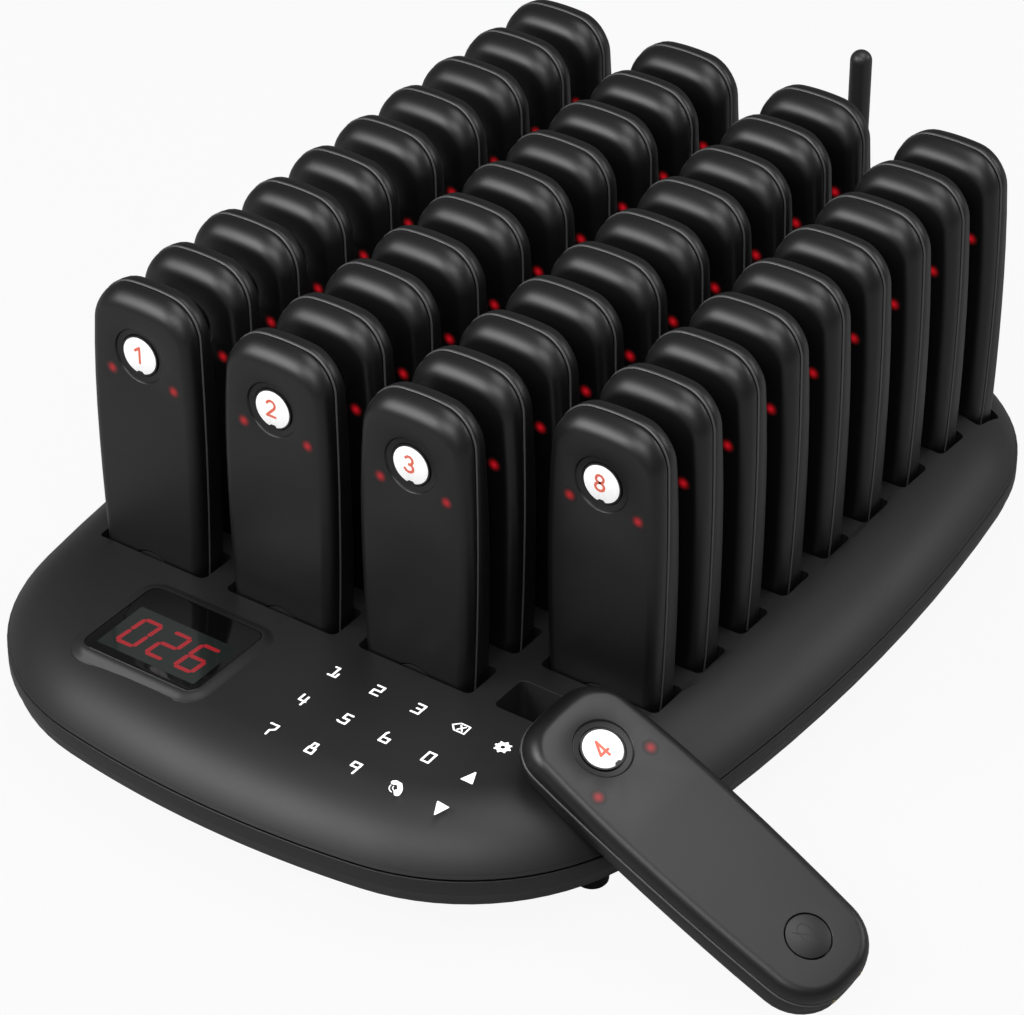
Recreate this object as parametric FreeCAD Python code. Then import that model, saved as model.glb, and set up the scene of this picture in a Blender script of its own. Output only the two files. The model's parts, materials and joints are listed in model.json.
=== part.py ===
import FreeCAD, Part
import math
import os

# Guest pager system: a charging base with forty slots, a keypad and a display,
# thirty-nine pagers standing in their slots and one leaning on the base.
# Millimetres. +X right, +Y to the back, +Z up, table at z = 0.
# While modelling, x = 0 is the base's middle and y = 0 is the front face of row 1.

# Slots
columns = 4
rows = 10
column_pitch = 60.0
row_pitch = 28.24
slot_fit = 0.5
slot_corner_radius = 2.5
slot_depth = 28.1
slot_wall = 1.8
slot_wall_gap = 0.7
slot_floor = 2.0
loose_pager_number = 4

# Base outline, seen from above: two end arcs, two side arcs and four corners
base_half_width = 145.7
base_front_reach = 86.1
base_back_reach = 313.8
base_widest_at = 111.3
front_arc_radius = 411.0
front_corner_radius = 86.5
side_arc_radius = 810.0
back_corner_radius = 84.0
back_arc_radius = 440.0

# Base heights, from the table up
foot_pad_height = 3.0
foot_boss_height = 4.0
taper_height = 17.5
band_height = 6.2
reveal_height = 1.1
dome_height = 17.4

# Base section
taper_inset = 20.0
skirt_height = 5.3
skirt_inset = 1.9
dome_width = 30.0
reveal_depth = 0.9
band_edge_chamfer = 0.5
shell_wall = 2.6
tongue_height = 2.0
tongue_thickness = 1.5
tongue_fit = 0.15

# Feet and screws
foot_boss_radius = 6.6
foot_boss_rise = 10.0
foot_pad_radius = 6.2
foot_pad_chamfer = 0.8
foot_front_x = 114.3
foot_front_y = -10.5
foot_back_x = 106.0
foot_back_y = 239.8
screw_radius = 1.25
screw_length = 12.0
screw_head_radius = 2.4
screw_head_height = 1.5
screw_fit = 0.1
post_radius = 2.6
post_outer_x = 95.0
post_front_y = -30.2
post_back_y = 284.8

# Display
display_x = -50.7
display_y = -35.1
window_width = 50.4
window_depth = 37.8
window_corner_radius = 3.6
window_thickness = 1.5
platform_height = 1.2
platform_margin = 2.2
platform_skirt = 4.0
platform_root = 1.2
digit_block_width = 44.0
digit_block_depth = 25.0
digit_block_height = 8.0
digit_block_setback = 4.4
display_board_width = 47.0
display_board_depth = 32.0
board_thickness = 1.6
display_fit = 0.3

# Control board under the touch keys
control_board_x = 45.5
control_board_y = -31.2
control_board_width = 84.0
control_board_depth = 44.0
control_board_drop = 3.0
control_post_radius = 2.0
control_post_inset = 4.0

# Charging board and its contacts
charging_board_margin = 4.0
contact_window_width = 18.0
contact_window_depth = 4.0
contact_width = 2.0
contact_depth = 1.2
contact_half_spacing = 6.0

# Connector bay at the back
bay_left = -42.0
bay_right = 32.0
bay_inset = 14.0
bay_wall = 2.4
bay_roof_drop = 1.0
connector_height = 18.0
jack_x = -22.0
jack_body_width = 9.0
jack_body_height = 10.0
jack_body_depth = 12.0
jack_nose_radius = 4.4
jack_nose_length = 2.4
jack_bore_radius = 2.9
jack_bore_depth = 9.5
jack_pin_radius = 1.0
jack_fit = 0.1

# Antenna
antenna_x = 16.1
antenna_radius = 4.4
antenna_tip_height = 150.1
antenna_rim_gap = 2.0
socket_flange_radius = 4.6
socket_flange_thickness = 1.5
socket_radius = 3.1
socket_length = 9.0
collar_gap = 0.6
collar_fit = 0.08
collar_radius = 4.8
collar_length = 10.0
hinge_tongue_thickness = 3.6
hinge_fit = 0.3
hinge_pin_radius = 1.2
hinge_pin_fit = 0.05
hinge_radius = 4.2
hinge_shoulder = 5.4

# Pager outline, seen from its front, and its thickness
pager_half_width = 24.4
pager_length = 140.8
pager_widest_at = 84.0
pager_thickness = 16.8
pager_low_arc_radius = 115.0
pager_low_corner_radius = 18.5
pager_side_arc_radius = 1100.0
pager_high_corner_radius = 14.0
pager_high_arc_radius = 110.0
pager_front_round = 4.6
pager_back_round = 4.6
seam_depth = 5.8
seam_step = 0.35
pager_wall = 1.8
seat_gap = 0.3
docked_edge_bevel = 3.0
docked_button_depth = 1.0

# Pager face
led_below_top = 34.7
led_half_spacing = 14.1
led_size = 2.4
led_height = 1.2
badge_above_leds = 8.9
badge_radius = 8.1
badge_proud = 0.45
badge_seat_depth = 0.8
badge_fit = 0.1
dish_radius = 11.0
dish_depth = 0.9
mute_above_low_end = 21.2
mute_radius = 8.4
mute_gap = 0.3
mute_flange = 1.0
mute_flange_thickness = 0.8
mute_travel = 0.5
mute_switch_size = 6.0

# Inside the pager
pager_board_depth = 5.4
pager_board_thickness = 1.2
pager_board_half_width = 18.5
pager_board_low = 14.0
pager_board_high = 126.0
pager_post_radius = 1.5
pager_post_inset = 4.0
battery_width = 34.0
battery_length = 50.0
battery_thickness = 5.6
battery_above_low_end = 49.0
motor_radius = 5.0
motor_thickness = 3.0
motor_above_low_end = 111.0
charge_contact_width = 3.4
charge_contact_depth = 3.0
charge_contact_length = 2.6

# The leaning pager: degrees, and where its lamps' midpoint stands
loose_lean = 25.8
loose_roll = -10.97
loose_heading = 179.05
loose_x = 129.8
loose_y = -15.3
loose_start_height = 90.0
settle_steps = 12

# Shared by all cuts, and the turns of a circle in degrees
overrun = 1.0
half_turn = 180.0
quarter_turn = 90.0

# Worked out from the sizes above
underside_z = foot_pad_height + foot_boss_height
band_low_z = underside_z + taper_height
skirt_low_z = band_low_z - skirt_height
band_top_z = band_low_z + band_height
dome_rim_z = band_top_z + reveal_height
deck_z = dome_rim_z + dome_height
slot_floor_z = deck_z - slot_depth
charging_board_z = slot_floor_z - slot_floor
pager_base_z = slot_floor_z + seat_gap
slot_half_width = pager_half_width + slot_fit
slot_front_y = -slot_fit
slot_back_y = pager_thickness + slot_fit
dome_radius = (dome_width ** 2 + dome_height ** 2) / (2 * dome_height)
lamp_height = pager_length - led_below_top
badge_height = lamp_height + badge_above_leds

up = FreeCAD.Vector(0, 0, 1)
right = FreeCAD.Vector(1, 0, 0)
back = FreeCAD.Vector(0, 1, 0)
origin = FreeCAD.Vector(0, 0, 0)


def at(x, y, z=0):
    return FreeCAD.Vector(x, y, z)


def block(x_span, y_span, z_span):
    """A box from three (low, high) pairs."""
    low = at(x_span[0], y_span[0], z_span[0])
    sizes = [span[1] - span[0] for span in (x_span, y_span, z_span)]
    return Part.makeBox(*sizes, low)


def centred(middle, size):
    return (middle - size / 2, middle + size / 2)


def column_x(column):
    return (column - (columns - 1) / 2) * column_pitch


def row_y(row):
    return row * row_pitch


def corner_centre(first, first_reach, second, second_reach, side):
    """The point at two given distances from two centres, on the low or high side in y."""
    gap = second - first
    along = (first_reach ** 2 - second_reach ** 2 + gap.Length ** 2) / (2 * gap.Length)
    aside = math.sqrt(first_reach ** 2 - along ** 2)
    unit = at(gap.x / gap.Length, gap.y / gap.Length)
    foot = first + unit * along
    turned = at(-unit.y, unit.x) * aside
    return max(foot + turned, foot - turned, key=lambda point: side * point.y)


def bearing(start, end):
    return math.degrees(math.atan2(end.y - start.y, end.x - start.x))


def outline_arcs(half_width, widest, side_radius, low, low_radius, low_corner,
                 high, high_radius, high_corner):
    """Eight arcs, each tangent to the next, as (centre, radius, start, end)."""
    low_centre = at(0, low + low_radius)
    high_centre = at(0, high - high_radius)
    side_centre = at(half_width - side_radius, widest)
    low_turn = corner_centre(low_centre, low_radius - low_corner,
                             side_centre, side_radius - low_corner, -1)
    high_turn = corner_centre(high_centre, high_radius - high_corner,
                              side_centre, side_radius - high_corner, 1)
    first = bearing(low_centre, low_turn)
    second = bearing(side_centre, low_turn)
    third = bearing(side_centre, high_turn)
    fourth = bearing(high_centre, high_turn)

    def mirrored(centre):
        return at(-centre.x, centre.y)

    return [
        (low_centre, low_radius, -half_turn - first, first),
        (low_turn, low_corner, first, second),
        (side_centre, side_radius, second, third),
        (high_turn, high_corner, third, fourth),
        (high_centre, high_radius, fourth, half_turn - fourth),
        (mirrored(high_turn), high_corner, half_turn - fourth, half_turn - third),
        (mirrored(side_centre), side_radius, half_turn - third, half_turn - second),
        (mirrored(low_turn), low_corner, half_turn - second, half_turn - first),
    ]


def outline_wire(arcs, inset, height):
    """The outline drawn in by an inset, at a height."""
    edges = []
    for centre, radius, start, end in arcs:
        circle = Part.Circle(centre + up * height, up, radius - inset)
        arc = Part.ArcOfCircle(circle, math.radians(start), math.radians(end))
        edges.append(arc.toShape())
    return Part.Wire(edges)


def outline_plate(arcs, inset, low, high):
    return Part.Face(outline_wire(arcs, inset, low)).extrude(up * (high - low))


def outline_ring(arcs, section):
    """A section, drawn with x as minus the inset, carried round the outline."""
    sectors = []
    for centre, radius, start, end in arcs:
        face = Part.Face(section)
        face.translate(right * radius)
        face.rotate(origin, up, start)
        face.translate(centre)
        sectors.append(face.revolve(centre, up, end - start))
    return sectors[0].fuse(sectors[1:])


def polygon(points):
    return Part.makePolygon(points + points[:1])


def cylinder_y(radius, x, z, y_low, y_high):
    return Part.makeCylinder(radius, y_high - y_low, at(x, y_low, z), back)


base_arcs = outline_arcs(base_half_width, base_widest_at, side_arc_radius,
                         -base_front_reach, front_arc_radius, front_corner_radius,
                         base_back_reach, back_arc_radius, back_corner_radius)
pager_arcs = outline_arcs(pager_half_width, pager_widest_at, pager_side_arc_radius,
                          0, pager_low_arc_radius, pager_low_corner_radius,
                          pager_length, pager_high_arc_radius, pager_high_corner_radius)


def dome_section():
    """The top shell's wall: dome, reveal at the rim, and a tongue inside the band."""
    curve_z = deck_z - dome_radius
    inner_radius = dome_radius - shell_wall
    tongue_outer = shell_wall + tongue_fit
    tongue_inner = tongue_outer + tongue_thickness
    spread = math.asin(dome_width / dome_radius)

    def on_curve(radius, angle):
        return at(radius * math.sin(angle) - dome_width, 0, curve_z + radius * math.cos(angle))

    rim = on_curve(dome_radius, spread)
    inner_end = math.asin((dome_width - tongue_inner) / inner_radius)
    outer_curve = Part.Arc(on_curve(dome_radius, 0), on_curve(dome_radius, spread / 2), rim)
    inner_curve = Part.Arc(on_curve(inner_radius, inner_end),
                           on_curve(inner_radius, inner_end / 2), on_curve(inner_radius, 0))
    below = Part.makePolygon([
        rim,
        at(-reveal_depth, 0, dome_rim_z),
        at(-reveal_depth, 0, band_top_z),
        at(-tongue_outer, 0, band_top_z),
        at(-tongue_outer, 0, band_top_z - tongue_height),
        at(-tongue_inner, 0, band_top_z - tongue_height),
        on_curve(inner_radius, inner_end),
    ])
    inside_edge = Part.LineSegment(on_curve(inner_radius, 0), on_curve(dome_radius, 0))
    edges = [outer_curve.toShape()] + below.Edges
    edges += [inner_curve.toShape(), inside_edge.toShape()]
    return Part.Wire(edges)


def upright_edges(solid):
    return [edge for edge in solid.Edges
            if edge.BoundBox.ZLength > edge.BoundBox.XLength + edge.BoundBox.YLength]


def slot_hole(column, row, low, high, grow=0):
    """The room a pager stands in, with rounded corners."""
    x = column_x(column)
    y = row_y(row)
    hole = block((x - slot_half_width - grow, x + slot_half_width + grow),
                 (y + slot_front_y - grow, y + slot_back_y + grow), (low, high))
    if grow:
        return hole
    return hole.makeFillet(slot_corner_radius, upright_edges(hole))


def contact_window(column, row):
    x = column_x(column)
    y = row_y(row) + pager_thickness / 2
    return block(centred(x, contact_window_width), centred(y, contact_window_depth),
                 (charging_board_z - overrun, slot_floor_z + overrun))


def all_slots():
    return [(column, row) for row in range(rows) for column in range(columns)]


def screw_places():
    middle_y = row_y(rows - 1) / 2 + pager_thickness / 2
    places = []
    for side in (-1, 1):
        places.append((side * post_outer_x, post_front_y))
        places.append((side * column_pitch, middle_y))
        places.append((side * column_pitch, post_back_y))
    return places


def rounded_block(x_span, y_span, z_span, radius):
    solid = block(x_span, y_span, z_span)
    return solid.makeFillet(radius, upright_edges(solid))


def display_platform():
    """A low table with sloping skirts that carries the display window."""
    half_width = window_width / 2 + platform_margin
    half_depth = window_depth / 2 + platform_margin
    top_z = deck_z + platform_height
    root_z = deck_z - platform_root
    loops = []
    for spread, z in ((platform_skirt, root_z), (0, top_z)):
        outer = rounded_block(centred(display_x, 2 * (half_width + spread)),
                              centred(display_y, 2 * (half_depth + spread)),
                              (z, z + overrun), window_corner_radius + platform_margin + spread)
        loops.append(min(outer.Faces, key=lambda face: face.CenterOfMass.z).OuterWire)
    return Part.makeLoft(loops, True, True)


def window_block(grow, low, high):
    return rounded_block(centred(display_x, window_width + 2 * grow),
                         centred(display_y, window_depth + 2 * grow), (low, high),
                         window_corner_radius + grow)


def digit_block_spans(grow=0):
    y = display_y - digit_block_setback
    return (centred(display_x, digit_block_width + 2 * grow),
            centred(y, digit_block_depth + 2 * grow))


window_top_z = deck_z + platform_height
window_low_z = window_top_z - window_thickness


def room_section():
    """What lies under the dome's outside and inside the tongue and the bottom shell."""
    curve_z = deck_z - dome_radius
    halfway = math.asin(dome_width / dome_radius) / 2
    middle = at(dome_radius * math.sin(halfway) - dome_width, 0,
                curve_z + dome_radius * math.cos(halfway))
    rim = at(0, 0, dome_rim_z)
    inner_end = at(-dome_width, 0, deck_z)
    inset = shell_wall + tongue_fit + tongue_thickness
    floor_z = underside_z + shell_wall
    sides = Part.makePolygon([
        rim,
        at(-inset, 0, dome_rim_z),
        at(-shell_wall - skirt_inset - slot_wall_gap, 0, skirt_low_z),
        at(-taper_inset - slot_wall_gap, 0, floor_z),
        at(-dome_width, 0, floor_z),
        inner_end,
    ])
    return Part.Wire([Part.Arc(inner_end, middle, rim).toShape()] + sides.Edges)


def slot_walls():
    """A box round each slot, trimmed to stay under the dome and inside the rim."""
    room = outline_ring(base_arcs, room_section())
    room = room.fuse(outline_plate(base_arcs, dome_width, charging_board_z, deck_z))
    boxes = [slot_hole(column, row, charging_board_z, deck_z - shell_wall, slot_wall)
             for column, row in all_slots()]
    return Part.makeCompound(boxes).common(room).Solids


def control_posts():
    half_width = control_board_width / 2 - control_post_inset
    half_depth = control_board_depth / 2 - control_post_inset
    top = deck_z - shell_wall
    posts = []
    for x in (control_board_x - half_width, control_board_x + half_width):
        for y in (control_board_y - half_depth, control_board_y + half_depth):
            foot = at(x, y, top - control_board_drop)
            posts.append(Part.makeCylinder(control_post_radius, control_board_drop, foot))
    return posts


def make_top_shell():
    shell = outline_ring(base_arcs, dome_section())
    shell = shell.fuse(outline_plate(base_arcs, dome_width, deck_z - shell_wall, deck_z))
    shell = shell.fuse(display_platform()).removeSplitter()
    floor_top_z = underside_z + shell_wall
    posts = [Part.makeCylinder(post_radius, deck_z - shell_wall - floor_top_z, at(x, y, floor_top_z))
             for x, y in screw_places()]
    shell = shell.fuse(slot_walls() + posts + control_posts())
    holes = [slot_hole(column, row, slot_floor_z, deck_z + overrun)
             for column, row in all_slots()]
    holes += [contact_window(column, row) for column, row in all_slots()]
    holes += [Part.makeCylinder(screw_radius + screw_fit, screw_length,
                                at(x, y, floor_top_z - overrun)) for x, y in screw_places()]
    holes.append(window_block(display_fit, window_low_z, window_top_z + overrun))
    x_span, y_span = digit_block_spans(display_fit)
    holes.append(block(x_span, y_span, (deck_z - shell_wall - overrun, window_top_z)))
    return shell.cut(holes)


def lower_body():
    """The outside of the base below the reveal, solid."""
    taper = Part.makeLoft([outline_wire(base_arcs, taper_inset, underside_z),
                           outline_wire(base_arcs, skirt_inset, skirt_low_z),
                           outline_wire(base_arcs, 0, band_low_z)], True, True)
    return taper.fuse(outline_plate(base_arcs, 0, band_low_z, band_top_z))


def tray_section():
    """The bottom shell's wall: the upright band, the skirt and the taper below it."""
    return polygon([
        at(-shell_wall, 0, band_top_z),
        at(-band_edge_chamfer, 0, band_top_z),
        at(0, 0, band_top_z - band_edge_chamfer),
        at(0, 0, band_low_z),
        at(-skirt_inset, 0, skirt_low_z),
        at(-taper_inset, 0, underside_z),
        at(-taper_inset, 0, underside_z + shell_wall),
        at(-skirt_inset - shell_wall, 0, skirt_low_z),
        at(-shell_wall, 0, band_low_z),
    ])


bay_face_y = base_back_reach - bay_inset
bay_roof_z = band_low_z - bay_roof_drop


def connector_bay():
    """Walls of the recess that the connectors face out of."""
    walls = block((bay_left - bay_wall, bay_right + bay_wall),
                  (bay_face_y - bay_wall, base_back_reach), (underside_z, bay_roof_z + bay_wall))
    return walls.common(lower_body())


def bay_room():
    return block((bay_left, bay_right), (bay_face_y, base_back_reach + overrun),
                 (underside_z - overrun, bay_roof_z))


def foot_places():
    corners = ((foot_front_x, foot_front_y), (foot_back_x, foot_back_y))
    return [(side * x, y) for side in (-1, 1) for x, y in corners]


def make_bottom_shell():
    shell = outline_ring(base_arcs, tray_section())
    floor = outline_plate(base_arcs, taper_inset, underside_z, underside_z + shell_wall)
    bosses = [Part.makeCylinder(foot_boss_radius, foot_boss_height + foot_boss_rise,
                                at(x, y, foot_pad_height)) for x, y in foot_places()]
    shell = shell.fuse([floor, connector_bay()] + bosses).removeSplitter()
    holes = [bay_room()]
    for x, y in screw_places():
        holes.append(Part.makeCylinder(screw_radius + screw_fit, shell_wall + overrun,
                                       at(x, y, underside_z)))
        holes.append(Part.makeCylinder(screw_head_radius + screw_fit, screw_head_height + overrun,
                                       at(x, y, underside_z - overrun)))
    inner_y = bay_face_y - bay_wall - overrun
    holes.append(cylinder_y(jack_nose_radius + jack_fit, jack_x, connector_height,
                            inner_y, bay_face_y + overrun))
    holes.append(cylinder_y(socket_radius + jack_fit, antenna_x, connector_height,
                            inner_y, bay_face_y + overrun))
    return shell.cut(holes)


def make_rubber_feet():
    pads = []
    for x, y in foot_places():
        pad = Part.makeCylinder(foot_pad_radius, foot_pad_height, at(x, y))
        rim = [edge for edge in pad.Edges if edge.BoundBox.ZMax < foot_pad_chamfer]
        pads.append(pad.makeChamfer(foot_pad_chamfer, rim))
    return Part.makeCompound(pads)


def make_case_screws():
    screws = []
    for x, y in screw_places():
        head = Part.makeCylinder(screw_head_radius, screw_head_height, at(x, y, underside_z))
        shank_z = underside_z + screw_head_height
        shank = Part.makeCylinder(screw_radius, screw_length - screw_head_height - overrun,
                                  at(x, y, shank_z))
        screws.append(head.fuse(shank))
    return Part.makeCompound(screws)


def make_display_window():
    return window_block(0, window_low_z, window_top_z)


def make_display_module():
    x_span, y_span = digit_block_spans()
    digits = block(x_span, y_span, (window_low_z - digit_block_height, window_low_z))
    board_z = window_low_z - digit_block_height - board_thickness
    board = block(centred(display_x, display_board_width),
                  centred(display_y - digit_block_setback, display_board_depth),
                  (board_z, board_z + board_thickness))
    return digits.fuse(board)


def make_control_board():
    top = deck_z - shell_wall - control_board_drop
    return block(centred(control_board_x, control_board_width),
                 centred(control_board_y, control_board_depth), (top - board_thickness, top))


def make_charging_board():
    x = column_x(columns - 1) + slot_half_width - charging_board_margin
    low_y = slot_front_y + charging_board_margin
    high_y = row_y(rows - 1) + slot_back_y - charging_board_margin
    board = block((-x, x), (low_y, high_y), (charging_board_z - board_thickness, charging_board_z))
    holes = [Part.makeCylinder(post_radius + screw_fit, board_thickness + 2 * overrun,
                               at(x, y, charging_board_z - board_thickness - overrun))
             for x, y in screw_places() if low_y < y < high_y]
    return board.cut(holes)


def make_contact_pins():
    pins = []
    for column, row in all_slots():
        y = row_y(row) + pager_thickness / 2
        for side in (-1, 1):
            x = column_x(column) + side * contact_half_spacing
            pins.append(block(centred(x, contact_width), centred(y, contact_depth),
                              (charging_board_z, slot_floor_z)))
    return Part.makeCompound(pins)


def make_dc_jack():
    inner_y = bay_face_y - bay_wall
    body = block(centred(jack_x, jack_body_width), (inner_y - jack_body_depth, inner_y),
                 centred(connector_height, jack_body_height))
    nose = cylinder_y(jack_nose_radius, jack_x, connector_height, inner_y,
                      inner_y + jack_nose_length)
    mouth_y = inner_y + jack_nose_length
    bore = cylinder_y(jack_bore_radius, jack_x, connector_height,
                      mouth_y - jack_bore_depth, mouth_y + overrun)
    pin = cylinder_y(jack_pin_radius, jack_x, connector_height,
                     mouth_y - jack_bore_depth, mouth_y - overrun)
    return body.fuse(nose).cut(bore).fuse(pin)


def make_antenna_socket():
    inner_y = bay_face_y - bay_wall
    flange = cylinder_y(socket_flange_radius, antenna_x, connector_height,
                        inner_y - socket_flange_thickness, inner_y)
    barrel = cylinder_y(socket_radius, antenna_x, connector_height,
                        inner_y, bay_face_y + socket_length)
    return flange.fuse(barrel)


hinge_y = base_back_reach + antenna_rim_gap + antenna_radius


def make_antenna_knuckle():
    """A collar on the socket, a stem, and a fork with the hinge pin."""
    start = bay_face_y + collar_gap
    end = start + collar_length
    collar = cylinder_y(collar_radius, antenna_x, connector_height, start, end)
    stem = cylinder_y(hinge_radius, antenna_x, connector_height, end, hinge_y)
    fork_half = hinge_tongue_thickness / 2 + hinge_fit
    disc = Part.makeCylinder(hinge_radius, 2 * antenna_radius,
                             at(antenna_x - antenna_radius, hinge_y, connector_height), right)
    gap = block((antenna_x - fork_half, antenna_x + fork_half),
                (hinge_y - hinge_radius - hinge_fit, hinge_y + hinge_radius + overrun),
                centred(connector_height, 2 * (hinge_radius + overrun)))
    bore = cylinder_y(socket_radius + collar_fit, antenna_x, connector_height,
                      start - overrun, bay_face_y + socket_length + collar_gap)
    pin = Part.makeCylinder(hinge_pin_radius, 2 * fork_half + overrun,
                            at(antenna_x - fork_half - overrun / 2, hinge_y, connector_height),
                            right)
    return collar.fuse([stem, disc]).cut([gap, bore]).fuse(pin).removeSplitter()


def make_antenna_whip():
    shoulder_z = connector_height + hinge_shoulder
    tip_centre = antenna_tip_height - antenna_radius
    rod = Part.makeCylinder(antenna_radius, tip_centre - shoulder_z,
                            at(antenna_x, hinge_y, shoulder_z))
    tip = Part.makeSphere(antenna_radius, at(antenna_x, hinge_y, tip_centre), up, 0, quarter_turn)
    tongue_left = antenna_x - hinge_tongue_thickness / 2
    knuckle = Part.makeCylinder(hinge_radius, hinge_tongue_thickness,
                                at(tongue_left, hinge_y, connector_height), right)
    blade = block(centred(antenna_x, hinge_tongue_thickness), centred(hinge_y, 2 * hinge_radius),
                  (connector_height, shoulder_z))
    blade = blade.common(Part.makeCylinder(antenna_radius, hinge_shoulder,
                                           at(antenna_x, hinge_y, connector_height)))
    eye = Part.makeCylinder(hinge_pin_radius + hinge_pin_fit, 2 * antenna_radius,
                            at(antenna_x - antenna_radius, hinge_y, connector_height), right)
    return rod.fuse([tip, knuckle, blade]).cut(eye).removeSplitter()


# A pager is modelled standing: x across, y into it from its front face, z up from its low end.


def stood_up(solid):
    """Turns what was drawn flat, with depth downwards, to face the front."""
    solid.rotate(origin, right, quarter_turn)
    return solid


def case_section(rounding, face_depth, seam, step):
    """A case half's wall: flat face, rounded edge, then the side up to the seam."""
    inward = 1 if seam > face_depth else -1
    side = abs(seam - face_depth)
    inner = rounding - pager_wall
    slant = math.radians(quarter_turn / 2)

    def point(inset, behind):
        return at(-inset - step, 0, -face_depth - inward * behind)

    def on_round(radius, angle):
        return point(rounding - radius * math.sin(angle), rounding - radius * math.cos(angle))

    full = 2 * slant
    outer_curve = Part.Arc(on_round(rounding, 0), on_round(rounding, slant),
                           on_round(rounding, full))
    inner_curve = Part.Arc(on_round(inner, full), on_round(inner, slant), on_round(inner, 0))
    edge = Part.makePolygon([on_round(rounding, full), point(0, side),
                             point(pager_wall, side), on_round(inner, full)])
    face_end = Part.LineSegment(on_round(inner, 0), on_round(rounding, 0))
    edges = [outer_curve.toShape()] + edge.Edges
    return Part.Wire(edges + [inner_curve.toShape(), face_end.toShape()])


def case_half(rounding, face_depth, seam, step):
    inward = 1 if seam > face_depth else -1
    ring = outline_ring(pager_arcs, case_section(rounding, face_depth, seam, step))
    depths = sorted((-face_depth, -face_depth - inward * pager_wall))
    face = outline_plate(pager_arcs, rounding + step, *depths)
    return stood_up(ring.fuse(face).removeSplitter())


def button_disc(radius, height, front, rear):
    return cylinder_y(radius, 0, height, front, rear)


def board_posts():
    """Posts from the front wall to the circuit board."""
    x = pager_board_half_width - pager_post_inset
    heights = (pager_board_low + pager_post_inset, pager_board_high - pager_post_inset)
    return [cylinder_y(pager_post_radius, side * x, z, pager_wall, pager_board_depth)
            for side in (-1, 1) for z in heights]


def make_pager_front_shell():
    shell = case_half(pager_front_round, 0, seam_depth, seam_step)
    seat_z = dish_depth + badge_seat_depth
    backing = button_disc(badge_radius + pager_wall, badge_height, pager_wall, seat_z + pager_wall)
    shell = shell.fuse([backing] + board_posts())
    dish = button_disc(dish_radius, badge_height, -overrun, dish_depth)
    seat = button_disc(badge_radius, badge_height, -overrun, seat_z)
    mute_hole = button_disc(mute_radius + mute_gap, mute_above_low_end, -overrun,
                            pager_wall + overrun)
    return shell.cut([dish, seat, mute_hole])


def charge_contact(side):
    return block(centred(side * contact_half_spacing, charge_contact_width),
                 centred(pager_thickness / 2, charge_contact_depth),
                 (seat_gap, seat_gap + charge_contact_length))


def make_pager_rear_shell():
    shell = case_half(pager_back_round, pager_thickness, seam_depth, 0)
    windows = [charge_contact(side) for side in (-1, 1)]
    below = [charge_contact(side).translated(up * -charge_contact_length) for side in (-1, 1)]
    return shell.cut(windows + below)


def make_pager_badge():
    return button_disc(badge_radius - badge_fit, badge_height, dish_depth - badge_proud,
                       dish_depth + badge_seat_depth)


def make_mute_button():
    flange_y = pager_wall + mute_gap
    cap = button_disc(mute_radius, mute_above_low_end, 0, flange_y)
    flange = button_disc(mute_radius + mute_flange, mute_above_low_end, flange_y,
                         flange_y + mute_flange_thickness)
    return cap.fuse(flange)


def make_pager_board():
    """The circuit board with its two lamps and the button's switch."""
    front = pager_board_depth
    board = block((-pager_board_half_width, pager_board_half_width),
                  (front, front + pager_board_thickness), (pager_board_low, pager_board_high))
    lamps = [block(centred(side * led_half_spacing, led_size), (front - led_height, front),
                   centred(lamp_height, led_size)) for side in (-1, 1)]
    button_back = pager_wall + mute_gap + mute_flange_thickness
    switch = block(centred(0, mute_switch_size), (button_back + mute_travel + mute_gap, front),
                   centred(mute_above_low_end, mute_switch_size))
    return board.fuse(lamps + [switch])


def make_battery():
    front = pager_board_depth + pager_board_thickness
    return block(centred(0, battery_width), (front, front + battery_thickness),
                 (battery_above_low_end, battery_above_low_end + battery_length))


def make_motor():
    front = pager_board_depth + pager_board_thickness
    return button_disc(motor_radius, motor_above_low_end, front, front + motor_thickness)


def make_charge_contacts():
    return Part.makeCompound([charge_contact(side) for side in (-1, 1)])


def docked_half(face_depth, seam, step):
    """A case half that stays closed inside, with a bevelled edge."""
    bevel = docked_edge_bevel
    inward = 1 if seam > face_depth else -1
    side = abs(seam - face_depth)

    def point(inset, behind):
        return at(-inset - step, 0, -face_depth - inward * behind)

    section = polygon([point(bevel, 0), point(0, bevel), point(0, side), point(bevel, side)])
    depths = sorted((-face_depth, -seam))
    core = outline_plate(pager_arcs, bevel + step, *depths)
    return stood_up(outline_ring(pager_arcs, section).fuse(core).removeSplitter())


def make_docked_pager():
    """One whole pager as it stands in its slot: case halves, badge and button."""
    front = docked_half(0, seam_depth, seam_step)
    dish = button_disc(dish_radius, badge_height, -overrun, dish_depth)
    well = button_disc(mute_radius + mute_gap, mute_above_low_end, -overrun, docked_button_depth)
    badge = button_disc(badge_radius, badge_height, dish_depth - badge_proud, dish_depth)
    button = button_disc(mute_radius, mute_above_low_end, 0, docked_button_depth)
    rear = docked_half(pager_thickness, seam_depth, 0)
    return Part.makeCompound([front.cut([dish, well]), rear, badge, button])


def make_loose_pager():
    return {
        "pager_04_front_shell": make_pager_front_shell(),
        "pager_04_rear_shell": make_pager_rear_shell(),
        "pager_04_number_badge": make_pager_badge(),
        "pager_04_mute_button": make_mute_button(),
        "pager_04_circuit_board": make_pager_board(),
        "pager_04_battery": make_battery(),
        "pager_04_vibration_motor": make_motor(),
        "pager_04_charge_contacts": make_charge_contacts(),
    }


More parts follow.
